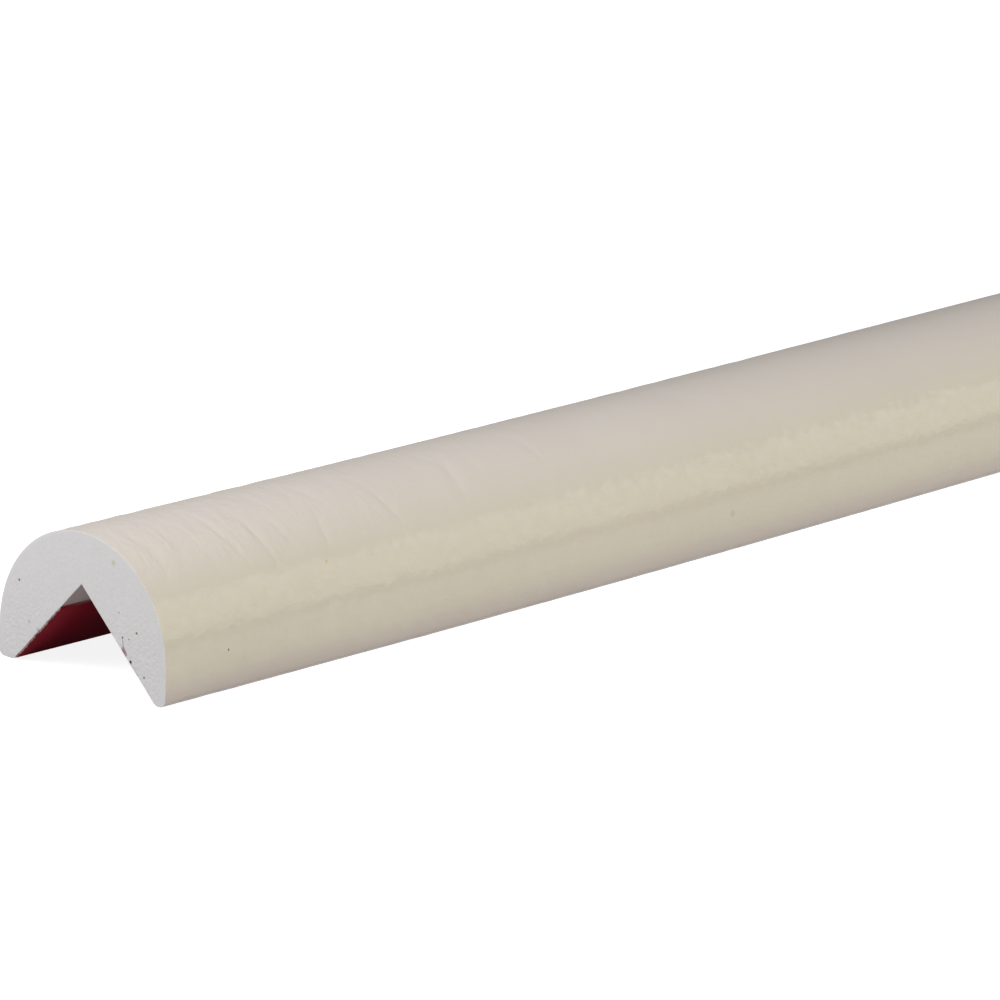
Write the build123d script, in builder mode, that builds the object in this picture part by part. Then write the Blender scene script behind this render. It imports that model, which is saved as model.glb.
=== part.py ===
from build123d import *

import os
from math import cos, radians, sin, tan

# Corner edge protector: a bar of moulded foam with a round back and a square notch along its whole length.
# The notch goes over an outside corner, and a strip of double-sided tape on each notch face holds the bar there.
# X runs along the bar, Y across it and Z up. The bar lies notch down, on the narrow feet of its two legs.
# The origin is on the floor, under the middle of the bar.

# Driving dimensions, in millimetres and degrees

length = 1000.0
outer_diameter = 40.0  # the round back
side_height = 6.1  # the upright sides, between the round back and the floor
notch_angle = 90.0  # a square corner
foot_width = 3.0  # each leg at the floor, before its edges are rounded
outer_edge_radius = 1.4  # the foot's edge towards the outside
inner_edge_radius = 1.8  # the foot's edge towards the notch

strip_width = 16.0
strip_margin = 0.1  # bare foam between a strip and the round of its leg's foot
adhesive_thickness = 0.2
liner_thickness = 0.1

# The section, seen along the bar

outer_radius = outer_diameter / 2
crown_height = side_height + outer_radius
half_angle = radians(notch_angle / 2)
mouth_half_width = outer_radius - foot_width
apex_height = mouth_half_width / tan(half_angle)

# The strips lie on the flat of the notch faces, which ends where the rounds of the feet begin.

face_length = mouth_half_width / sin(half_angle)
flat_length = face_length - inner_edge_radius * tan((radians(90) - half_angle) / 2)
strip_middle = flat_length - strip_margin - strip_width / 2

section_plane = Plane(origin=(0, 0, 0), x_dir=(0, 1, 0), z_dir=(1, 0, 0))


def notch_face_plane(side):
    """The plane of one notch face: from the apex, X runs to the leg's foot and Z out into the notch."""
    to_foot = (0, side * sin(half_angle), -cos(half_angle))
    into_notch = (0, -side * cos(half_angle), -sin(half_angle))
    return Plane(origin=(0, 0, apex_height), x_dir=to_foot, z_dir=into_notch)


# Foam profile: the back, the sides, the notch and the rounded feet in one section, run along the bar

with BuildPart() as foam_profile:
    with BuildSketch(section_plane) as section:
        with BuildLine():
            left_shoulder = (outer_radius, side_height)
            right_shoulder = (-outer_radius, side_height)
            ThreePointArc(left_shoulder, (0, crown_height), right_shoulder)
            Polyline(
                right_shoulder,
                (-outer_radius, 0),
                (-mouth_half_width, 0),
                (0, apex_height),
                (mouth_half_width, 0),
                (outer_radius, 0),
                left_shoulder,
            )
        make_face()
        for across, radius in ((outer_radius, outer_edge_radius), (mouth_half_width, inner_edge_radius)):
            left_edge = section.vertices().sort_by_distance((across, 0))[0]
            right_edge = section.vertices().sort_by_distance((-across, 0))[0]
            fillet([left_edge, right_edge], radius)
    extrude(amount=length / 2, both=True)
foam_profile.part.label = "foam_profile"


# Tape: on each notch face an adhesive film, and on the film the release liner that is peeled off it


def tape_layer(label, side, start, thickness):
    """One layer of a strip, which starts at a height above the notch face and is cut flush with the foam."""
    with BuildPart() as layer:
        with BuildSketch(notch_face_plane(side).offset(start)):
            with Locations((strip_middle, 0)):
                Rectangle(strip_width, length)
        extrude(amount=thickness)
    layer.part.label = label
    return layer.part


pieces = [foam_profile.part]
for side_name, side in (("left", 1), ("right", -1)):
    pieces.append(tape_layer(f"adhesive_film_{side_name}", side, 0, adhesive_thickness))
    pieces.append(tape_layer(f"release_liner_{side_name}", side, adhesive_thickness, liner_thickness))


# Files: one for each piece

os.makedirs("parts", exist_ok=True)
for piece in pieces:
    export_step(piece, f"parts/{piece.label}.step")
    print(piece.label, round(piece.volume), "mm3", piece.bounding_box().size)

print("apex", round(apex_height, 3), "mm up, flat of each notch face", round(flat_length, 3), "mm long")
print("middle of each strip", round(strip_middle, 3), "mm from the apex")
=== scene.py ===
# %% [markdown]
# Corner edge protector
#
# The object is a bar of flexible polyurethane foam, sold by the metre, that pads the outside corner of a
# wall, a rack or a table. Its back is round, and a square notch runs along it. Two strips of double-sided
# tape in the notch hold it in place, under red release liners that are peeled off before use. The packed
# model gives each piece its size and place. This lesson gives the pieces their surfaces: the moulded skin
# with its creases, the sawn ends, the tape, and a plain studio to see them in.

import bpy
import numpy as np
from mathutils import Matrix, Vector


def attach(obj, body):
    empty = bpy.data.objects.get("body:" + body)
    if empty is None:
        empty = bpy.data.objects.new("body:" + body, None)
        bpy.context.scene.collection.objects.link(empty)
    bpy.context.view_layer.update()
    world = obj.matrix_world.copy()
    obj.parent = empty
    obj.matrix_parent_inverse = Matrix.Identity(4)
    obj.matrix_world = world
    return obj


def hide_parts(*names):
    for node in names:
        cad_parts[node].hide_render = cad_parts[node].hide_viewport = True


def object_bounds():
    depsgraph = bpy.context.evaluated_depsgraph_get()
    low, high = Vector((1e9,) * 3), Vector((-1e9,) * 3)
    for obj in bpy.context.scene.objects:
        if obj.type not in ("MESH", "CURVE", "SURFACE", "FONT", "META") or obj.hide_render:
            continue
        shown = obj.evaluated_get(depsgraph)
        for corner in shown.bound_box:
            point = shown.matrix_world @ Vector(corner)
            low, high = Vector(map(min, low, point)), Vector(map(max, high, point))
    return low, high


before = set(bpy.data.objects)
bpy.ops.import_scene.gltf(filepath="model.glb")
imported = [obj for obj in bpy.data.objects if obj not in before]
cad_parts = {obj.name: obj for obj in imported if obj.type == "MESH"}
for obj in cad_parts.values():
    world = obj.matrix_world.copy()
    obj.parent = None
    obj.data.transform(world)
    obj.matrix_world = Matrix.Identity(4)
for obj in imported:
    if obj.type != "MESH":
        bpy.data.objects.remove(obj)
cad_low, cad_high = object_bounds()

mm = 0.001
near_end, far_end = cad_low.x, cad_high.x
print("nodes", sorted(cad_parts))
print("CAD box in mm", [round(c / mm, 2) for c in (*cad_low, *cad_high)])

# %% [markdown]
# A few helpers come first. Colours are written as sRGB hex, as a paint chart or a picture editor gives
# them, and Blender's sockets want linear light, so one function turns the one into the other. A second
# function adds a shader node, with its settings and links in one call, so that a material reads as a
# short list.

# %% Helpers for colours and shader nodes
def to_linear(hex_colour):
    """Each sRGB channel as linear light: the straight foot of the sRGB curve, then its 2.4 power."""
    channels = np.array([int(hex_colour[i:i + 2], 16) for i in (1, 3, 5)]) / 255
    linear = np.where(channels <= 0.04045, channels / 12.92, ((channels + 0.055) / 1.055) ** 2.4)
    return (*linear.tolist(), 1.0)


def add_node(tree, kind, inputs=None, **settings):
    """Add a node: settings are its properties, inputs its sockets' values or the sockets that feed them."""
    node = tree.nodes.new("ShaderNode" + kind)
    for name, value in settings.items():
        setattr(node, name, value)
    for key, value in (inputs or {}).items():
        if isinstance(value, bpy.types.NodeSocket):
            tree.links.new(value, node.inputs[key])
        else:
            node.inputs[key].default_value = value
    return node


def new_material(name):
    """An empty node material, its tree, and the Object coordinates that its patterns read, in metres."""
    material = bpy.data.materials.new(name)
    material.use_nodes = True
    tree = material.node_tree
    tree.nodes.clear()
    place = add_node(tree, "TexCoord").outputs["Object"]
    return material, tree, place


def finish_material(material, shader):
    """Send a shader to the material's output."""
    tree = material.node_tree
    add_node(tree, "OutputMaterial", {"Surface": shader.outputs[0]})
    print(material.name, len(tree.nodes), "nodes")
    return material


# A Mix node's colour sockets come after its sockets for numbers and vectors.
factor, first_colour, second_colour, mixed_colour = 0, 6, 7, 2
print("mid grey as linear light", [round(c, 3) for c in to_linear("#808080")])

# %% [markdown]
# The section is the heart of the object: half a circle for the back, upright sides below it, a square
# notch, and narrow feet with rounded edges. It could be drawn as a curve and bevelled along a line, but
# here it is a formula, because the same formula with a small inset also gives the soft edge round each
# sawn end.

# %% Sizes of the section
outer_radius = (cad_high.y - cad_low.y) / 2
side_height = cad_high.z - outer_radius
foot_width, outer_edge_radius, inner_edge_radius = 3.0 * mm, 1.4 * mm, 1.8 * mm
half_notch = np.radians(45)

mouth_half_width = outer_radius - foot_width
round_reach = inner_edge_radius * np.tan((np.pi / 2 - half_notch) / 2)
outer_round_centre = np.array([outer_radius - outer_edge_radius, outer_edge_radius])
inner_round_centre = np.array([mouth_half_width + round_reach, inner_edge_radius])
foot_middle = (outer_round_centre[0] + inner_round_centre[0]) / 2
back_centre = np.array([0.0, side_height])
apex = np.array([0.0, mouth_half_width / np.tan(half_notch)])
print("section height in mm", round((side_height + outer_radius) / mm, 2))
print("apex above the floor in mm", round(apex[1] / mm, 2))

# %% Outline of the section
round_steps, side_steps, back_steps = 6, 4, 30
half_points = round_steps + side_steps + back_steps + 2
path_points = 2 * half_points - 1


def arc(centre, radius, start, end, steps):
    """Points on a circle for each radius, at even angles from start to end, in degrees."""
    angles = np.radians(np.linspace(start, end, steps + 1))
    ring = np.stack([np.cos(angles), np.sin(angles)], axis=-1)
    return centre + np.asarray(radius)[:, None, None] * ring


def straight(start, stop, steps):
    """Points at even steps between two rows of points, without the first ones."""
    share = np.linspace(0, 1, steps + 1)[1:, None]
    return start[:, None] * (1 - share) + stop[:, None] * share


def outline(inset):
    """The section drawn in by each inset: the outer path over the back, and the inner path through the notch.

    Both run from the middle of the left foot to that of the right one. The outer half is the foot's outer
    round, the upright side and a quarter of the back. The inner half is the foot's inner round and the notch
    face. Each half is followed by its mirror image.
    """
    inset = np.asarray(inset, float)
    foot = np.stack([np.full_like(inset, foot_middle), inset], axis=-1)[:, None]
    outer_round = arc(outer_round_centre, outer_edge_radius - inset, -90, 0, round_steps)
    back = arc(back_centre, outer_radius - inset, 0, 90, back_steps)
    side = straight(outer_round[:, -1], back[:, 0], side_steps)
    face_turn = -180 + np.degrees(half_notch)
    inner_round = arc(inner_round_centre, inner_edge_radius - inset, -90, face_turn, round_steps)
    top = apex + inset[:, None] / np.sin(half_notch) * np.array([0.0, 1.0])
    face = straight(inner_round[:, -1], top, side_steps + back_steps)
    mirror = np.array([-1.0, 1.0])
    paths = []
    for half in ((foot, outer_round, side, back[:, 1:]), (foot, inner_round, face)):
        half = np.concatenate(half, axis=1)
        paths.append(np.concatenate([half, half[:, -2::-1] * mirror], axis=1))
    return paths


outer_path, inner_path = [path[0] for path in outline([0.0])]
ends_meet = np.allclose(outer_path[[0, -1]], inner_path[[0, -1]])
print("points on each path", len(outer_path), "ends meet", ends_meet)

# %% [markdown]
# The bar has been bent in handling, and its skin kept creases across the back, most of them near the sawn
# end. The long ones are valleys one to two tenths of a millimetre deep, and short fainter ones lie between
# them. They could be painted with bump, but a real valley also catches the light in the mesh itself, so the
# creases are part of the shape. The long ones are listed with their places, and the short ones are scattered
# by a seeded generator.

# %% Creases
# Place along the bar from the near end, lean along the bar from start to stop, start and stop angle round the
# back from the crown towards the right leg, depth and width: millimetres and degrees
long_creases = [
    (7.2, -3.5, 7, 50, 0.110, 0.50),
    (16.7, 0.5, 3, 48, 0.080, 0.50),
    (23.2, 3.8, 3, 60, 0.190, 0.48),
    (29.7, 2.4, 3, 70, 0.210, 0.45),
    (35.0, 2.4, 16, 50, 0.140, 0.52),
    (39.1, 1.6, 38, 66, 0.110, 0.52),
    (44.0, -3.7, 22, 56, 0.160, 0.55),
    (47.7, 3.2, -1, 34, 0.110, 0.60),
    (61.1, 4.4, 2, 70, 0.150, 0.70),
    (80.0, -4.3, 4, 50, 0.220, 0.75),
    (101.5, 0.2, 8, 40, 0.120, 0.75),
]
creased_length, even_rim = 235.0, 4.0

# The fine creases have the same columns. They crowd towards the cut, and the far ones are wider.
draw = np.random.default_rng(7)
fine_count = 240
fine_place = creased_length * draw.random(fine_count) ** 2.2
fine_middle = draw.uniform(-60, 28, fine_count)
fine_reach = draw.uniform(8, 24, fine_count)
fine_creases = np.stack([
    fine_place,
    draw.normal(0.8, 2.4, fine_count),
    fine_middle - fine_reach,
    fine_middle + fine_reach,
    draw.uniform(0.015, 0.050, fine_count),
    draw.uniform(0.40, 0.75, fine_count) + 0.6 * (fine_place > 110),
], axis=1)


def crease_depth(x, angle):
    """Depth of the skin's creases at places along the bar and angles round its back.

    Across a crease the depth is a bell, exp(-d d / 2 w w). Its middle line leans evenly along the bar, and
    towards its two ends it fades out as (1 - s s) squared, where s runs from -1 to 1 along the crease. Over
    the last millimetres before the cut all creases die out, because the saw left the rim even.
    """
    from_end = (x - near_end) / mm
    depth = np.zeros(np.broadcast(x, angle).shape)
    for place, lean, start, stop, deep, wide in [*long_creases, *fine_creases]:
        s = (angle - (start + stop) / 2) / ((stop - start) / 2)
        fade = np.clip(1 - s ** 2, 0, None) ** 2
        aside = (from_end - place - lean * s / 2) / wide
        depth += deep * mm * fade * np.exp(-0.5 * aside ** 2)
    return depth * np.clip(from_end / even_rim, 0, 1)


print("creases", len(long_creases), "long and", fine_count, "fine")

# %% [markdown]
# Between the creases the skin is not quite smooth either: it follows the uneven foam under it in waves a
# few millimetres long and a few hundredths of one high. They are too low to see by themselves, but they
# make the edges of the streak of gloss wander. They too are part of the shape, and die out along the bar
# with the creases.

# %% Waves of the skin
wave_count = 16
wave_length = draw.uniform(4.5, 9.0, wave_count) * mm
wave_turn = draw.uniform(0, np.pi, wave_count)
wave_phase = draw.uniform(0, 2 * np.pi, wave_count)
wave_height = 0.008 * mm
wavy_length = 250.0


def skin_waves(x, angle):
    """Height of the skin's waves: the sum of sines of several lengths, turned and shifted by seeded amounts.

    The sum fades evenly to nothing along the bar and over the last millimetres before the cut.
    """
    around = outer_radius * np.radians(angle)
    total = np.zeros(np.broadcast(x, angle).shape)
    for length, turn, phase in zip(wave_length, wave_turn, wave_phase):
        total += np.sin(2 * np.pi / length * (x * np.cos(turn) + around * np.sin(turn)) + phase)
    from_end = (x - near_end) / mm
    fade = np.clip(1 - from_end / wavy_length, 0, 1) * np.clip(from_end / even_rim, 0, 1)
    return wave_height * total * fade


print("waves", wave_count, "highest possible in mm", round(wave_count * wave_height / mm, 3))

# %% [markdown]
# The bar is the section carried along its length. Near the end that faces the camera the stations stand
# close enough together to hold the creases, and further on they spread out. The rims of the sawn ends are
# rounded by a few hundredths of a millimetre, because soft foam never keeps a knife edge. A bar this soft
# is never quite straight or true, so it wanders sideways by a millimetre, its notch leans by half of one,
# and its left side is a little narrower. A curve with a bevel object would make the same bar, but not
# with uneven stations and not with a mesh that is closed at its ends.

# %% Stations along the bar
edge_round = 0.04 * mm
edge_steps = 4
bow_reach, bow_length = 1.14 * mm, 225 * mm
foot_lean, apex_lean = -0.75 * mm, 0.42 * mm
left_narrowing = 0.15 * mm

# Start, stop and spacing of the close stations, and start, stop and count of the others, in mm from the cut
close_runs = ((0.5, 75, 0.36), (75, 130, 0.6), (130, 235, 1.0))
plain_run = (240, 999, 150)


def stations():
    """Places along the bar from one sawn end to the other, with the inset of the section at each.

    At each end a quarter circle trades inset for length: both follow edge_round times 1 minus cosine or sine.
    """
    turn = np.linspace(0, np.pi / 2, edge_steps + 1)
    edge_x = edge_round * (1 - np.cos(turn))
    edge_inset = edge_round * (1 - np.sin(turn))
    length = far_end - near_end
    run = np.concatenate([*[np.arange(*run) for run in close_runs], np.linspace(*plain_run)]) * mm
    x = near_end + np.concatenate([edge_x, run, length - edge_x[::-1]])
    inset = np.concatenate([edge_inset, np.zeros(len(run)), edge_inset[::-1]])
    return x, inset


def sideways_bow(x):
    """How far the bar wanders to the left of a straight line: a slow sine that dies out to the far end."""
    share = (x - near_end) / (far_end - near_end)
    return -bow_reach * (1 - share) * np.sin(np.pi * (x - near_end) / bow_length)


def notch_lean(height):
    """How far the notch lies to the left of the middle: evenly more from the feet up to the apex."""
    return foot_lean + (apex_lean - foot_lean) * height / apex[1]


station_x, station_inset = stations()
print("stations", len(station_x), "closest in mm", round(np.diff(station_x).min() / mm, 3))

# %% Walls and sawn ends of the bar
columns = 2 * (path_points - 1)
across_steps = 20


def bar_walls():
    """Points of the long walls, a row for each station.

    A row is the outline at that station, run over the back and home through the notch. The back's points are
    drawn towards its centre by the creases' depth and moved out by the waves' height. Those on the left are
    drawn in by the narrowing times the fourth power of their share of the half width. The middle of each foot
    goes half as far aside as the notch does.
    """
    outer, inner = outline(station_inset)
    from_centre = outer - back_centre
    angle = np.degrees(np.arctan2(-from_centre[..., 0], from_centre[..., 1]))
    depth = crease_depth(station_x[:, None], angle) - skin_waves(station_x[:, None], angle)
    reach = np.linalg.norm(from_centre, axis=-1, keepdims=True)
    outer = outer - from_centre / reach * depth[..., None]
    outer[..., 0] -= left_narrowing * np.clip(outer[..., 0] / outer_radius, 0, 1) ** 4
    inner[..., 0] += notch_lean(inner[..., 1])
    outer[:, [0, -1], 0] += foot_lean / 2
    loop = np.concatenate([outer, inner[:, -2:0:-1]], axis=1)
    loop[..., 0] += sideways_bow(station_x)[:, None]
    along = np.repeat(station_x[:, None, None], columns, axis=1)
    print("deepest crease in mm", round(depth.max() / mm, 3))
    return np.concatenate([along, loop], axis=2)


def wall_quads(rows):
    """Quads between neighbouring rows, whose last column joins its first."""
    here = np.arange(columns)
    beside = (here + 1) % columns
    row = np.arange(rows - 1)[:, None] * columns
    corners = [row + here, row + beside, row + beside + columns, row + here + columns]
    return np.stack(corners, axis=-1).reshape(-1, 4)


def sawn_end(rim, rim_start, first_new):
    """Points and faces that close the bar over one rim, a row of the walls.

    Straight lines are ruled from each point of the notch to its partner on the back, and cut into even steps.
    At the middle of each foot the partners are one point, so triangles fan out from it.
    """
    outer_number = np.arange(path_points)
    inner_number = (columns - outer_number) % columns
    inner_number[-1] = path_points - 1
    share = np.linspace(0, 1, across_steps + 1)[1:-1, None]
    start, stop = rim[inner_number[1:-1], None], rim[outer_number[1:-1], None]
    points = start * (1 - share) + stop * share
    number = first_new + np.arange(points.shape[0] * points.shape[1]).reshape(points.shape[:2])
    sides = [rim_start + n[1:-1, None] for n in (inner_number, outer_number)]
    number = np.concatenate([sides[0], number, sides[1]], axis=1)
    corners = [number[:-1, :-1], number[1:, :-1], number[1:, 1:], number[:-1, 1:]]
    quads = np.stack(corners, axis=-1).reshape(-1, 4)
    left_foot = np.full(across_steps, rim_start)
    right_foot = left_foot + path_points - 1
    fans = np.concatenate([
        np.stack([left_foot, number[0, :-1], number[0, 1:]], axis=1),
        np.stack([number[-1, :-1], right_foot, number[-1, 1:]], axis=1),
    ])
    return points.reshape(-1, 3), quads, fans


walls = bar_walls()
rows = len(walls)
wall_points = walls.reshape(-1, 3)
last_rim = (rows - 1) * columns
near_points, near_quads, near_fans = sawn_end(walls[0], 0, len(wall_points))
far_points, far_quads, far_fans = sawn_end(walls[-1], last_rim, len(wall_points) + len(near_points))
bar_points = np.concatenate([wall_points, near_points, far_points])
bar_blocks = [wall_quads(rows), near_quads, near_fans, far_quads[:, ::-1], far_fans[:, ::-1]]
print("bar points", len(bar_points), "faces", sum(len(block) for block in bar_blocks))

# %% [markdown]
# One function puts arrays of points and faces into a mesh. Faces are smooth, with edges sharper than a
# limit kept sharp, so the round back shades evenly and the apex of the notch stays a corner.

# %% Put arrays into a mesh
def mesh_piece(name, points, blocks, materials, face_material, sharp_angle=40):
    """A mesh object from points, blocks of faces as rows of point numbers, and a material number a face."""
    faces = [face for block in blocks for face in block.tolist()]
    mesh = bpy.data.meshes.new(name)
    mesh.from_pydata(points.tolist(), [], faces)
    for material in materials:
        mesh.materials.append(material)
    mesh.polygons.foreach_set("material_index", np.asarray(face_material, np.int32))
    mesh.polygons.foreach_set("use_smooth", np.ones(len(faces), bool))
    mesh.set_sharp_from_angle(angle=np.radians(sharp_angle))
    mesh.update()
    piece = bpy.data.objects.new(name, mesh)
    bpy.context.scene.collection.objects.link(piece)
    triangles = sum(len(face) - 2 for face in faces)
    print(name, len(points), "points", triangles, "triangles")
    return piece


# %% [markdown]
# Small flaws give the foam away as real: open pores, grains of dirt and a smear from the tape. Each is a
# soft dot at a known place, so a distance from that place, turned into a share, mixes its colour in. A
# painted picture would do this too, but here the dots stay sharp at any size and need no file.

# %% Soft dots at known places
def add_dots(tree, place, colour, dots):
    """Mix dots into a colour. A dot is its place in millimetres, its radius, its colour and its strength.

    The share is the strength at the middle and falls smoothly to nothing at 1.3 times the radius.
    """
    for centre, radius, dot_colour, strength in dots:
        away = add_node(tree, "VectorMath", {0: place, 1: [c * mm for c in centre]}, operation="DISTANCE")
        share = add_node(tree, "MapRange", {
            "Value": away.outputs["Value"],
            "From Min": 0.5 * radius * mm,
            "From Max": 1.3 * radius * mm,
            "To Min": strength,
            "To Max": 0.0,
        }, interpolation_type="SMOOTHSTEP")
        mixed = add_node(tree, "Mix", {
            factor: share.outputs["Result"],
            first_colour: colour,
            second_colour: to_linear(dot_colour),
        }, data_type="RGBA")
        colour = mixed.outputs[mixed_colour]
    return colour


def on_back(from_end, angle):
    """The place in millimetres on the back, so far from the near end and so many degrees from the crown."""
    turn = np.radians(angle)
    x = near_end + from_end * mm
    across = sideways_bow(x) - outer_radius * np.sin(turn)
    return x / mm, across / mm, (back_centre[1] + outer_radius * np.cos(turn)) / mm


skin_dots = [
    (on_back(14.6, 85.8), 0.22, "#57523c", 0.9),
    (on_back(41.0, 56.1), 0.34, "#cda85a", 0.6),
    (on_back(144.0, 86.3), 0.7, "#b3a893", 0.4),
]
print("dots on the skin", len(skin_dots))

# %% [markdown]
# The back is an integral skin: foam that met the cool wall of a polished mould and set dense and smooth
# there, under a thin cream lacquer. It gives the eye clouds of slightly lighter and darker cream, and the
# cream turns paler and cooler towards the crown. Towards the feet the colour darkens: painted shade, where
# the sides come close to the floor. A painted picture could hold all this, but each part of it follows from
# the height above the floor, so a few ranges of height are enough.

# %% Colour of the moulded skin
cloud_size = 22 * mm
crown_from, crown_full = 15.5 * mm, 26 * mm
shade_from, shade_full = 7 * mm, 0.0
side_creams = ("#cbc2ae", "#cfc7b4")
crown_creams = ("#cbc3bc", "#cfc8c1")
# The foot creams are painted shade: a darker colour where the sides come close to the floor.
shaded_foot_creams = ("#b9ada4", "#bdb1a8")


def skin_colour(tree, place, height):
    """Clouded cream, mixed with a paler one towards the crown and with painted shade towards the feet, and
    dotted.
    """
    clouds = add_node(tree, "TexNoise", {"Vector": place, "Scale": 1 / cloud_size, "Detail": 4.0})
    shades = []
    for darker, lighter in (side_creams, crown_creams, shaded_foot_creams):
        shade = add_node(tree, "Mix", {
            factor: clouds.outputs[0],
            first_colour: to_linear(darker),
            second_colour: to_linear(lighter),
        }, data_type="RGBA")
        shades.append(shade.outputs[mixed_colour])
    crown_share = add_node(tree, "MapRange", {"Value": height, "From Min": crown_from, "From Max": crown_full})
    # Painted shade: its share grows from nothing at 7 mm above the floor to full at the floor.
    floor_shade_share = add_node(tree, "MapRange", {
        "Value": height,
        "From Min": shade_from,
        "From Max": shade_full,
    }, interpolation_type="SMOOTHSTEP")
    colour = shades[0]
    for share, shade in ((crown_share, shades[1]), (floor_shade_share, shades[2])):
        mixed = add_node(tree, "Mix", {
            factor: share.outputs["Result"],
            first_colour: colour,
            second_colour: shade,
        }, data_type="RGBA")
        colour = mixed.outputs[mixed_colour]
    return add_dots(tree, place, colour, skin_dots)


print("creams", len(side_creams + crown_creams + shaded_foot_creams))

# %% [markdown]
# The gloss is what the eye notices first: a satin streak of light along the side. It starts at a ragged
# tide line, above which the wet lacquer ran thin. Below the line it is stronger in some runs than in
# others, and low on the sides handling has worn it. At the tide line only the strength of the reflection
# changes. The roughness rises further up, where hardly any reflection is left, so that it draws no line
# of its own.

# %% Gloss of the moulded skin
gloss_from, gloss_gone, dull_from = 16.9 * mm, 18.5 * mm, 22 * mm
run_size, run_reach, run_stretch = 1.4 * mm, 4.5 * mm, (0.65, 1.0, 1.0)
thick_coat, thin_coat, bare_coat = 0.68, 0.36, 0.02
worn_from, worn_full, worn_share = 11 * mm, 8.5 * mm, 0.55
satin, dull = 0.18, 0.5


def skin_gloss(tree, drawn_out, height):
    """Strength and roughness of the skin's reflection. The tide line is the height plus a noise of runs."""
    runs = add_node(tree, "TexNoise", {"Vector": drawn_out, "Scale": 1 / run_size, "Detail": 3.0}).outputs[0]
    tide = add_node(tree, "Math", {0: runs, 1: run_reach, 2: height}, operation="MULTIPLY_ADD")
    coat = add_node(tree, "MapRange", {
        "Value": runs,
        "From Min": 0.35,
        "From Max": 0.65,
        "To Min": thick_coat,
        "To Max": thin_coat,
    })
    wear = add_node(tree, "MapRange", {
        "Value": height,
        "From Min": worn_full,
        "From Max": worn_from,
        "To Min": worn_share,
        "To Max": 1.0,
    })
    worn_coat = add_node(tree, "Math", {
        0: coat.outputs["Result"],
        1: wear.outputs["Result"],
    }, operation="MULTIPLY")
    mirroring = add_node(tree, "MapRange", {
        "Value": tide.outputs[0],
        "From Min": gloss_from + run_reach / 2,
        "From Max": gloss_gone + run_reach / 2,
        "To Min": worn_coat.outputs[0],
        "To Max": bare_coat,
    })
    dullness = add_node(tree, "MapRange", {
        "Value": height,
        "From Min": dull_from,
        "From Max": crown_full,
        "To Min": satin,
        "To Max": dull,
    })
    return mirroring.outputs["Result"], dullness.outputs["Result"]


print("tide line from", round(gloss_from / mm, 1), "to", round(gloss_gone / mm, 1), "mm above the floor")

# %% [markdown]
# The lacquer also has a faint orange peel, which roughens the edges of the streak, and near the cut the
# crown is covered with wrinkles finer than the creases. The peel is a few hundredths of a millimetre high
# and the wrinkles about a tenth. The mesh is already near its limit of faces, so both are bump: noise
# that tilts the shading and not the surface. The wrinkles are noise drawn out round the back, and they
# fade along the bar and down towards the gloss.

# %% Relief of the moulded skin
peel_size = 1.2 * mm
wrinkle_size, wrinkled_length, wrinkle_stretch = 2.3 * mm, 120 * mm, (1.0, 0.45, 0.45)
low_wrinkles, crown_wrinkles = 0.3, 5.0
relief_height = 0.06 * mm


def skin_relief(tree, place, drawn_out, parts):
    """The bumped normal: orange peel everywhere, plus wrinkles that are strongest on the crown at the cut."""
    peel = add_node(tree, "TexNoise", {"Vector": drawn_out, "Scale": 1 / peel_size, "Detail": 2.0})
    squeezed = add_node(tree, "VectorMath", {0: place, 1: wrinkle_stretch}, operation="MULTIPLY")
    wrinkles = add_node(tree, "TexNoise", {
        "Vector": squeezed.outputs[0],
        "Scale": 1 / wrinkle_size,
        "Detail": 2.0,
        "Distortion": 0.8,
    })
    on_crown = add_node(tree, "MapRange", {
        "Value": parts["Z"],
        "From Min": gloss_gone,
        "From Max": dull_from,
        "To Min": low_wrinkles,
        "To Max": crown_wrinkles,
    })
    fade = add_node(tree, "MapRange", {
        "Value": parts["X"],
        "From Min": near_end,
        "From Max": near_end + wrinkled_length,
        "To Min": on_crown.outputs["Result"],
        "To Max": 0.0,
    })
    relief = add_node(tree, "Math", {
        0: wrinkles.outputs[0],
        1: fade.outputs["Result"],
        2: peel.outputs[0],
    }, operation="MULTIPLY_ADD")
    bump = add_node(tree, "Bump", {"Strength": 1.0, "Distance": relief_height, "Height": relief.outputs[0]})
    return bump.outputs[0]


def moulded_skin():
    """Cream lacquer on moulded polyurethane: clouded and satin, with a faint orange peel and a dull crown."""
    material, tree, place = new_material("moulded_polyurethane_skin")
    parts = add_node(tree, "SeparateXYZ", {0: place}).outputs
    drawn_out = add_node(tree, "VectorMath", {0: place, 1: run_stretch}, operation="MULTIPLY").outputs[0]
    mirroring, dullness = skin_gloss(tree, drawn_out, parts["Z"])
    shader = add_node(tree, "BsdfPrincipled", {
        "Base Color": skin_colour(tree, place, parts["Z"]),
        "Roughness": dullness,
        "Specular IOR Level": mirroring,
        "IOR": 1.49,
        "Normal": skin_relief(tree, place, drawn_out, parts),
    })
    return finish_material(material, shader)


skin = moulded_skin()

# %% [markdown]
# The notch was moulded too, but it never saw daylight, so its skin is a neutral off-white and less glossy.
# Here its colour is darker and pinker than that: painted shade of the deep notch and painted red light from
# the liners. The tape covers most of it.

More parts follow.
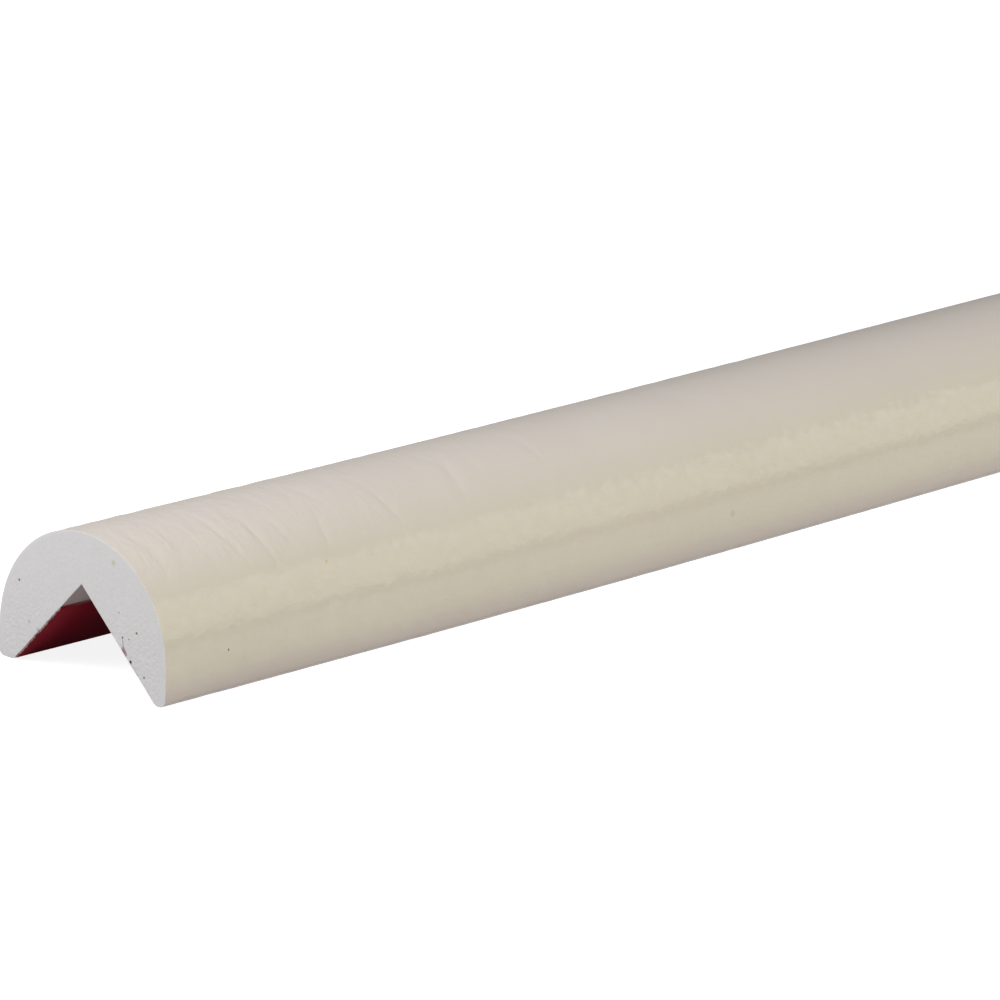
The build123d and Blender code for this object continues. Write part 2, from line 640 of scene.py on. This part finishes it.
# %% Skin of the notch
def notch_skin():
    """Unlacquered moulded foam: off-white darkened and tinted pink by painted shade and painted red light,
    nearly matt, with a fine leathery grain.
    """
    material, tree, place = new_material("bare_moulded_foam")
    grain_size = 1.6 * mm
    grain = add_node(tree, "TexNoise", {"Vector": place, "Scale": 1 / grain_size, "Detail": 3.0})
    # These greys hold painted shade of the deep notch and painted red light from the liners.
    colour = add_node(tree, "Mix", {
        factor: grain.outputs[0],
        first_colour: to_linear("#ab9694"),
        second_colour: to_linear("#b6a3a0"),
    }, data_type="RGBA")
    bump = add_node(tree, "Bump", {"Strength": 1.0, "Distance": 0.03 * mm, "Height": grain.outputs[0]})
    shader = add_node(tree, "BsdfPrincipled", {
        "Base Color": colour.outputs[mixed_colour],
        "Roughness": 0.6,
        "IOR": 1.49,
        "Normal": bump.outputs[0],
    })
    return finish_material(material, shader)


bare_foam = notch_skin()

# %% [markdown]
# The end was sawn, so it shows the inside of the foam: white, matt, and open-celled. The real cells are
# about a fifth of a millimetre wide, too fine for the picture, so they are drawn three times as wide.
# Near the skin the foam is denser and the cut is smoother, which leaves a paler rim about a millimetre
# wide. The legs gave way under the saw, so their cells are torn deeper. Pores, dirt and a smear of the
# tape's dye are dots at their places on this end.

# %% Flaws of the near sawn end
def on_end(across, up):
    """The place in millimetres on the near sawn end, so far to the left of the middle and above the floor."""
    return near_end / mm, across, up


def streak(start, stop, count):
    """Places in a row from one place on the near end to another."""
    return [on_end(*p) for p in np.linspace(start, stop, count).tolist()]


pore, dirt, dye = "#4a4442", "#8d8783", "#8d6674"
end_dots = [
    (on_end(15.34, 14.26), 0.24, pore, 0.9),
    (on_end(-12.90, 11.54), 0.24, pore, 0.9),
    (on_end(-14.93, 4.24), 0.22, pore, 0.85),
    (on_end(-11.15, 10.05), 0.16, pore, 0.8),
    (on_end(-11.68, 6.23), 0.30, "#1a1516", 1.0),
    (on_end(-8.62, 14.16), 0.20, dirt, 0.6),
    (on_end(-6.99, 22.41), 0.45, "#c3c096", 0.6),
    (on_end(-0.04, 16.20), 0.20, "#2c2826", 0.9),
    (on_end(4.89, 11.48), 0.20, "#2c2826", 0.9),
    (on_end(7.20, 9.17), 0.16, "#2c2826", 0.9),
    (on_end(9.52, 6.32), 0.18, "#2c2826", 0.9),
    (on_end(12.68, 7.47), 0.35, dirt, 0.35),
    (on_end(10.47, 6.53), 0.40, dirt, 0.5),
    *[(p, 0.11, "#8b847c", 0.75) for p in streak((-9.63, 9.80), (-9.90, 8.42), 8)],
    (on_end(-9.61, 10.04), 0.20, pore, 0.9),
    *[(p, 0.42, dye, 0.65) for p in streak((-9.81, 8.12), (-10.42, 7.24), 4)],
    *[(p, 0.30, "#b9a3ab", 0.35) for p in streak((-11.84, 5.79), (-13.26, 4.33), 4)],
]
print("dots on the near end", len(end_dots))

# %% Smooth rim of the sawn foam
rim_from, rim_full = outer_radius - 1.5 * mm, outer_radius - 1.0 * mm


def smooth_rim(tree, place):
    """The share of the smooth rim, which rises with the distance from the centre of the back.

    Below that centre the sides are upright, so there only the distance across counts.
    """
    flat = add_node(tree, "VectorMath", {0: place, 1: (0.0, 1.0, 1.0)}, operation="MULTIPLY")
    from_centre = add_node(tree, "VectorMath", {
        0: flat.outputs[0],
        1: (0.0, 0.0, side_height),
    }, operation="SUBTRACT")
    upper = add_node(tree, "VectorMath", {
        0: from_centre.outputs[0],
        1: (-1.0, -1.0, 0.0),
    }, operation="MAXIMUM")
    radius = add_node(tree, "VectorMath", {0: upper.outputs[0]}, operation="LENGTH")
    rim = add_node(tree, "MapRange", {
        "Value": radius.outputs["Value"],
        "From Min": rim_from,
        "From Max": rim_full,
    }, interpolation_type="SMOOTHSTEP")
    return rim.outputs["Result"]


print("smooth rim in mm", round((outer_radius - rim_full) / mm, 2))

# %% Sawn foam
cell_size, patch_size, cell_height = 0.6 * mm, 2.0 * mm, 0.06 * mm
torn_from, torn_full = 16 * mm, 9 * mm
torn_bump, sawn_bump, rim_bump = 0.9, 0.3, 0.1


def sawn_foam():
    """Sawn polyurethane foam: white and matt, with open cells, a smoother rim inside the skin, and flaws."""
    material, tree, place = new_material("sawn_polyurethane_foam")
    cells = add_node(tree, "TexVoronoi", {"Vector": place, "Scale": 1 / cell_size})
    patches = add_node(tree, "TexNoise", {"Vector": place, "Scale": 1 / patch_size, "Detail": 4.0})
    relief = add_node(tree, "Math", {0: cells.outputs["Distance"], 1: patches.outputs[0]}, operation="ADD")
    shade = add_node(tree, "MapRange", {"Value": relief.outputs[0], "From Min": 0.4, "From Max": 1.5})
    foam = add_node(tree, "Mix", {
        factor: shade.outputs["Result"],
        first_colour: to_linear("#dcdada"),
        second_colour: to_linear("#e3e1e1"),
    }, data_type="RGBA")
    rim = smooth_rim(tree, place)
    rimmed = add_node(tree, "Mix", {
        factor: rim,
        first_colour: foam.outputs[mixed_colour],
        second_colour: to_linear("#e0dede"),
    }, data_type="RGBA")
    torn = add_node(tree, "MapRange", {
        "Value": add_node(tree, "SeparateXYZ", {0: place}).outputs["Z"],
        "From Min": torn_full,
        "From Max": torn_from,
        "To Min": torn_bump,
        "To Max": sawn_bump,
    })
    open_cells = add_node(tree, "MapRange", {
        "Value": rim,
        "To Min": torn.outputs["Result"],
        "To Max": rim_bump,
    })
    bump = add_node(tree, "Bump", {
        "Strength": open_cells.outputs["Result"],
        "Distance": cell_height,
        "Height": relief.outputs[0],
    })
    shader = add_node(tree, "BsdfPrincipled", {
        "Base Color": add_dots(tree, place, rimmed.outputs[mixed_colour], end_dots),
        "Roughness": 0.85,
        "IOR": 1.49,
        "Normal": bump.outputs[0],
    })
    return finish_material(material, shader)


cut_foam = sawn_foam()

# %% [markdown]
# The three finishes go on one mesh: the cream skin over the back and the sides, the bare skin in the
# notch, and the sawn foam at both ends and on their rounded rims.

# %% Foam bar
on_skin, on_notch, on_cut = 0, 1, 2
wall_material = np.where(np.arange(columns) < path_points - 1, on_skin, on_notch)
band_material = np.tile(wall_material, (rows - 1, 1))
band_material[:edge_steps] = on_cut
band_material[-edge_steps:] = on_cut
end_faces = sum(len(block) for block in bar_blocks[1:])
bar_material = np.concatenate([band_material.ravel(), np.full(end_faces, on_cut)])
bar = mesh_piece("foam_bar", bar_points, bar_blocks, [skin, bare_foam, cut_foam], bar_material)

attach(bar, "root")
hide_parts("foam_profile")

# %% [markdown]
# A strip of tape is two thin ribbons on each notch face: the adhesive film, and on it the release liner.
# The saw went through foam and tape together. It dragged the soft adhesive out into a ragged bead, more
# on the left, and it lifted the liner a little there. A plain box would show a knife-sharp end, so each
# ribbon is a flat profile carried along the bar, whose last millimetre is pulled about by smooth seeded
# waves.

# %% Waves for the ragged ends of the tape
strip_width, strip_margin = 16 * mm, 0.1 * mm
strip_start = mouth_half_width / np.sin(half_notch) - round_reach - strip_margin - strip_width
wave_counts = np.array([5, 9, 14, 22, 31, 43])


def ragged(share, seed):
    """A smooth uneven line across a strip, about 0 to 1: a sum of sines of several counts.

    Their phases are seeded, so the line is the same each time.
    """
    phases = np.random.default_rng(seed).uniform(0, 2 * np.pi, (len(wave_counts), 1))
    waves = np.sin(wave_counts[:, None] * np.pi * share + phases) / np.sqrt(len(wave_counts))
    return np.clip(0.5 + 0.5 * waves.sum(axis=0), 0, 1.2)


print("each strip starts", round(strip_start / mm, 2), "mm from the apex")

# %% Ribbons of tape
pressed_edge, pressed_share = 0.6 * mm / strip_width, 0.15
pull_length, swell_length = 0.5 * mm, 0.6 * mm
ripple_lengths = 9 * mm, 23 * mm


def ribbon_profile(thickness, steps=40):
    """A flat closed profile: shares of the width, and heights, along the top and back along the bottom."""
    share = np.concatenate([[0.0, 0.002], np.linspace(0.01, 0.99, steps - 3), [0.998, 1.0]])
    top = np.concatenate([[0.6, 0.95], np.ones(steps - 3), [0.95, 0.6]])
    return np.concatenate([share, share[::-1]]), np.concatenate([top, 1 - top[::-1]]) * thickness


def ribbon_stations():
    """Places along a ribbon in metres from the near end, close together over the last 3 mm at each end."""
    close = np.linspace(0, 3, 25) * mm
    length = far_end - near_end
    run = np.linspace(5 * mm, length - 5 * mm, 166)
    return np.concatenate([close, run, length - close[::-1]])


def tape_ribbon(name, side, lift, thickness, margin, pulled, swell, ripple, material):
    """A ribbon on one notch face: its profile, carried along the bar, with ragged ends.

    The margin is the share of the strip's width that the ribbon leaves free on each side. Towards its upper
    edge it is pressed down to a share of its height. With d the distance from a sawn end, a point moves out
    along the bar by its pull times exp(-d / pull_length), and off the face by its swell times
    exp(-d / swell_length). Slow ripples, products of two sines, lift it by a few hundredths of a millimetre.
    """
    share, height = ribbon_profile(thickness)
    share = margin + (1 - 2 * margin) * share
    from_near = ribbon_stations()[:, None]
    length = far_end - near_end
    x = from_near + near_end + 0 * share
    off = lift + height + 0 * from_near
    on_top = height / thickness
    for end, seed in ((0, 11), (1, 12)):
        d = length - from_near if end else from_near
        outwards = 1 if end else -1
        pull = pulled[0] + (pulled[1] - pulled[0]) * ragged(share, seed + 4 * side)
        x = x + outwards * pull * np.exp(-d / pull_length)
        rise = swell * ragged(share, seed + 20 + 4 * side) * np.exp(-d / swell_length)
        off = off + rise * (on_top if lift == 0 else 1.0)
    slow = np.sin(from_near / ripple_lengths[0] + 5 * share) * np.sin(from_near / ripple_lengths[1] + 2.0)
    off = off + ripple * slow * on_top
    off = off * np.interp(share, [0, pressed_edge], [pressed_share, 1.0])
    along = strip_start + strip_width * share + 0 * from_near
    across = np.array([0.0, side * np.sin(half_notch), -np.cos(half_notch)])
    into_notch = np.array([0.0, -side * np.cos(half_notch), -np.sin(half_notch)])
    origin = np.array([0.0, *apex])
    points = origin + along[..., None] * across + off[..., None] * into_notch
    points[..., 0] = x
    points[..., 1] += notch_lean(points[..., 2]) + sideways_bow(from_near + near_end)
    return close_ribbon(name, points if side > 0 else points[:, ::-1], material)


def close_ribbon(name, points, material):
    """The ribbon's mesh: quads along it, and at each end quads between its top and its bottom."""
    count, around = points.shape[:2]
    here = np.arange(around)
    beside = (here + 1) % around
    row = np.arange(count - 1)[:, None] * around
    corners = [row + here, row + here + around, row + beside + around, row + beside]
    sides = np.stack(corners, axis=-1).reshape(-1, 4)
    half = np.arange(around // 2 - 1)
    cap = np.stack([half, half + 1, around - 2 - half, around - 1 - half], axis=-1)
    blocks = [sides, cap, cap[:, ::-1] + (count - 1) * around]
    faces = sum(len(block) for block in blocks)
    return mesh_piece(name, points.reshape(-1, 3), blocks, [material], np.zeros(faces))


# %% [markdown]
# The adhesive is a tacky acrylic film: brownish, a little see-through and soft. It is too thin for light
# to scatter in it, so a clouded colour is enough. At a cut it gathers dust, so its last half millimetre
# is speckled with dark grains.

# %% Adhesive film
dusty_length = 0.6 * mm


def adhesive_film():
    """Tacky acrylic adhesive: brown, clouded, with dark dust where it was cut."""
    material, tree, place = new_material("acrylic_adhesive_film")
    grain_size = 0.5 * mm
    grain = add_node(tree, "TexNoise", {"Vector": place, "Scale": 1 / grain_size, "Detail": 2.0})
    brown = add_node(tree, "Mix", {
        factor: grain.outputs[0],
        first_colour: to_linear("#7d5c52"),
        second_colour: to_linear("#a98f86"),
    }, data_type="RGBA")
    parts = add_node(tree, "SeparateXYZ", {0: place})
    from_middle = add_node(tree, "Math", {0: parts.outputs["X"]}, operation="ABSOLUTE")
    at_cut = add_node(tree, "MapRange", {
        "Value": from_middle.outputs[0],
        "From Min": far_end - dusty_length,
        "From Max": far_end,
    })
    speckle = add_node(tree, "MapRange", {"Value": grain.outputs[0], "From Min": 0.52, "From Max": 0.66})
    dust = add_node(tree, "Math", {
        0: at_cut.outputs["Result"],
        1: speckle.outputs["Result"],
    }, operation="MULTIPLY")
    dusty = add_node(tree, "Mix", {
        factor: dust.outputs[0],
        first_colour: brown.outputs[mixed_colour],
        second_colour: to_linear("#2b2422"),
    }, data_type="RGBA")
    shader = add_node(tree, "BsdfPrincipled", {
        "Base Color": dusty.outputs[mixed_colour],
        "Roughness": 0.45,
        "IOR": 1.47,
    })
    return finish_material(material, shader)


adhesive = adhesive_film()

# %% [markdown]
# The liner is a polyethylene film, dyed dark red and coated with silicone. It gives the eye a deep even red
# with a dull sheen, and faint lines along its length from the rollers that drew it. Its upper edge is pressed
# thin, so it is pale there. Near the cut its red is paler: painted light, where more light reaches into the
# open end of the notch.

# %% Release liner
strip_top = apex[1] - strip_start * np.cos(half_notch)
# The second length is how far the painted light near each cut reaches along the bar.
pale_edge, lit_cut_length = 0.7 * mm, 8 * mm


def release_film():
    """Dyed polyethylene film with a silicone coat: deep red, dull, faintly lined, paler at the edge, with
    painted light near the cut.
    """
    material, tree, place = new_material("red_polyethylene_release_film")
    line_spacing = 1.2 * mm
    drawn_out = add_node(tree, "VectorMath", {0: place, 1: (0.02, 1.0, 1.0)}, operation="MULTIPLY")
    lines = add_node(tree, "TexNoise", {
        "Vector": drawn_out.outputs[0],
        "Scale": 1 / line_spacing,
        "Detail": 2.0,
    })
    red = add_node(tree, "Mix", {
        factor: lines.outputs[0],
        first_colour: to_linear("#850f22"),
        second_colour: to_linear("#901429"),
    }, data_type="RGBA")
    parts = add_node(tree, "SeparateXYZ", {0: place})
    thin_edge = add_node(tree, "MapRange", {
        "Value": parts.outputs["Z"],
        "From Min": strip_top - pale_edge,
        "From Max": strip_top,
    }, interpolation_type="SMOOTHSTEP")
    edged = add_node(tree, "Mix", {
        factor: thin_edge.outputs["Result"],
        first_colour: red.outputs[mixed_colour],
        second_colour: to_linear("#b08f90"),
    }, data_type="RGBA")
    # Painted light: over the last 8 mm before each cut the red turns paler, where light reaches into the
    # notch.
    from_middle = add_node(tree, "Math", {0: parts.outputs["X"]}, operation="ABSOLUTE")
    at_cut = add_node(tree, "MapRange", {
        "Value": from_middle.outputs[0],
        "From Min": far_end - lit_cut_length,
        "From Max": far_end,
    }, interpolation_type="SMOOTHSTEP")
    lit_near_cut = add_node(tree, "Mix", {
        factor: at_cut.outputs["Result"],
        first_colour: edged.outputs[mixed_colour],
        second_colour: to_linear("#a42c3b"),
    }, data_type="RGBA")
    bump = add_node(tree, "Bump", {"Strength": 1.0, "Distance": 0.01 * mm, "Height": lines.outputs[0]})
    shader = add_node(tree, "BsdfPrincipled", {
        "Base Color": lit_near_cut.outputs[mixed_colour],
        "Roughness": 0.6,
        "IOR": 1.51,
        "Specular IOR Level": 0.006,
        "Normal": bump.outputs[0],
    })
    return finish_material(material, shader)


liner = release_film()

# %% [markdown]
# Each strip is made once for the left face and once for the right, and only the drag of the saw differs:
# on the left it pulled the adhesive out, and on the right it pushed the strip's end a little way in.

# %% Strips of tape on both notch faces
adhesive_thickness, liner_thickness = 0.2 * mm, 0.1 * mm
adhesive_margin = 0.1 * mm / strip_width
for name, side, drag, pressed_in in (("left", 1, 0.22 * mm, 0.0), ("right", -1, 0.06 * mm, 0.36 * mm)):
    film = tape_ribbon(
        "adhesive_" + name, side, 0.0, adhesive_thickness,
        adhesive_margin, (-pressed_in, drag - pressed_in), 0.7 * drag, 0.0, adhesive)
    cover = tape_ribbon(
        "liner_" + name, side, adhesive_thickness, liner_thickness,
        0.0, (-0.8 * drag - pressed_in, 0.1 * drag - pressed_in), 0.7 * drag, 0.02 * mm, liner)
    for piece, node, slot in ((film, "adhesive_film_", "adhesive"), (cover, "release_liner_", "liner")):
        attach(piece, "root")
        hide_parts(node + name)

# %% [markdown]
# The studio is a white floor and soft light. The floor is lit like any surface, so it keeps the bar's
# shadow, and it also glows a little towards the camera and towards reflections, which lifts it to white
# without any more light on the bar. From below it is clear, so that the notch can be looked at too.

# %% Floor
floor_half, mottle_size = 60.0, 0.5
floor_glow = 0.88


def floor_paper():
    """Pale matt paper with a glow that only the camera, reflections and clear things see."""
    material, tree, place = new_material("white_studio_paper")
    mottle = add_node(tree, "TexNoise", {"Vector": place, "Scale": 1 / mottle_size})
    paper = add_node(tree, "Mix", {
        factor: mottle.outputs[0],
        first_colour: to_linear("#b0b0b0"),
        second_colour: to_linear("#b3b3b3"),
    }, data_type="RGBA")
    diffuse = add_node(tree, "BsdfDiffuse", {"Color": paper.outputs[mixed_colour]})
    path = add_node(tree, "LightPath")
    seen = path.outputs["Is Camera Ray"]
    for kind in ("Is Glossy Ray", "Is Transmission Ray"):
        seen = add_node(tree, "Math", {0: seen, 1: path.outputs[kind]}, operation="MAXIMUM").outputs[0]
    strength = add_node(tree, "Math", {0: seen, 1: floor_glow}, operation="MULTIPLY")
    glow = add_node(tree, "Emission", {"Strength": strength.outputs[0]})
    both = add_node(tree, "AddShader", {0: diffuse.outputs[0], 1: glow.outputs[0]})
    clear = add_node(tree, "BsdfTransparent")
    geometry = add_node(tree, "NewGeometry")
    one_sided = add_node(tree, "MixShader", {
        0: geometry.outputs["Backfacing"],
        1: both.outputs[0],
        2: clear.outputs[0],
    })
    return finish_material(material, one_sided)


corners = np.array([[-1, -1, 0], [1, -1, 0], [1, 1, 0], [-1, 1, 0]]) * floor_half
floor = mesh_piece("studio_floor", corners, [np.array([[0, 1, 2, 3]])], [floor_paper()], [0])

# %% [markdown]
# Four softboxes light the bar. A large one in front lights the side evenly. A wide warm one far to the
# right draws the streak of gloss along the side, and its lower edge ends the streak. A small one hangs
# close above the sawn end, so the crown grows darker along the bar. The last one, with a grid that keeps
# its light together, stands behind the far part. Each is set by its radiance, the brightness of its
# cloth, so its size can change without a new brightness in reflections. A dim grey world fills in between
# them.

# %% Lights
def softbox(name, from_end, direction, distance, size, radiance, colour="#ffffff", spread=180):
    """A rectangular area lamp, turned to face a place on the bar, given by its distance from the near end.

    Its power is the radiance times pi times its area, which is what an even cloth of that brightness gives
    off. The spread is the angle in degrees that a grid in front of the cloth leaves open.
    """
    aim = Vector((near_end + from_end * mm, 0, 13 * mm))
    lamp = bpy.data.lights.new(name, "AREA")
    lamp.shape = "RECTANGLE"
    lamp.size, lamp.size_y = size
    lamp.energy = radiance * np.pi * size[0] * size[1]
    lamp.color = to_linear(colour)[:3]
    lamp.spread = np.radians(spread)
    holder = bpy.data.objects.new(name, lamp)
    back = Vector(direction).normalized()
    holder.location = aim + back * distance
    holder.rotation_euler = back.to_track_quat("Z", "Y").to_euler()
    holder.visible_camera = False
    bpy.context.scene.collection.objects.link(holder)
    print(name, "power in W", round(lamp.energy, 2))


softbox("front_softbox", 110, (0.20, -0.90, 0.50), 1.5, (0.8, 0.8), 7.1)
softbox("right_softbox", 110, (0.72, -0.60, 0.36), 2.4, (1.6, 1.25), 1.2, "#fffff0")
softbox("end_softbox", 110, (-0.68, 0.27, 0.65), 0.48, (0.3, 0.3), 5.85)
softbox("back_softbox", 740, (0.10, 0.85, 0.50), 0.9, (0.5, 0.4), 1.0, spread=45)

world = bpy.data.worlds.new("studio_air")
bpy.context.scene.world = world
world.use_nodes = True
air = world.node_tree.nodes["Background"].inputs
air["Color"].default_value = to_linear("#6c6c6c")
air["Strength"].default_value = 1.0

# %% [markdown]
# The camera looks at the sawn end from the left and a little above, from about 1.2 m away through a long
# lens, so the bar narrows only gently. Its place and turn were worked out from the shape of the sawn end.

# %% Camera
azimuth, elevation, roll = np.radians([-48.361, 16.082, 2.557])
camera_from_end = np.array([-792.93, -797.44, 358.57]) * mm
focal_in_frames = 7.003

back = np.array([
    np.sin(azimuth) * np.cos(elevation),
    -np.cos(azimuth) * np.cos(elevation),
    np.sin(elevation),
])
level_right = np.array([np.cos(azimuth), np.sin(azimuth), 0.0])
level_up = np.cross(back, level_right)
right = np.cos(roll) * level_right + np.sin(roll) * level_up
up = np.cos(roll) * level_up - np.sin(roll) * level_right

camera_data = bpy.data.cameras.new("camera")
camera_data.lens = focal_in_frames * camera_data.sensor_width
camera_data.clip_start, camera_data.clip_end = 0.05, 200
camera = bpy.data.objects.new("camera", camera_data)
place = np.eye(4)
place[:3, :3] = np.stack([right, up, back], axis=1)
place[:3, 3] = camera_from_end + [near_end, 0, 0]
camera.matrix_world = Matrix(place.tolist())
bpy.context.scene.collection.objects.link(camera)
bpy.context.scene.camera = camera
bpy.context.scene.view_settings.view_transform = "Standard"
print("lens in mm", round(camera_data.lens, 1))
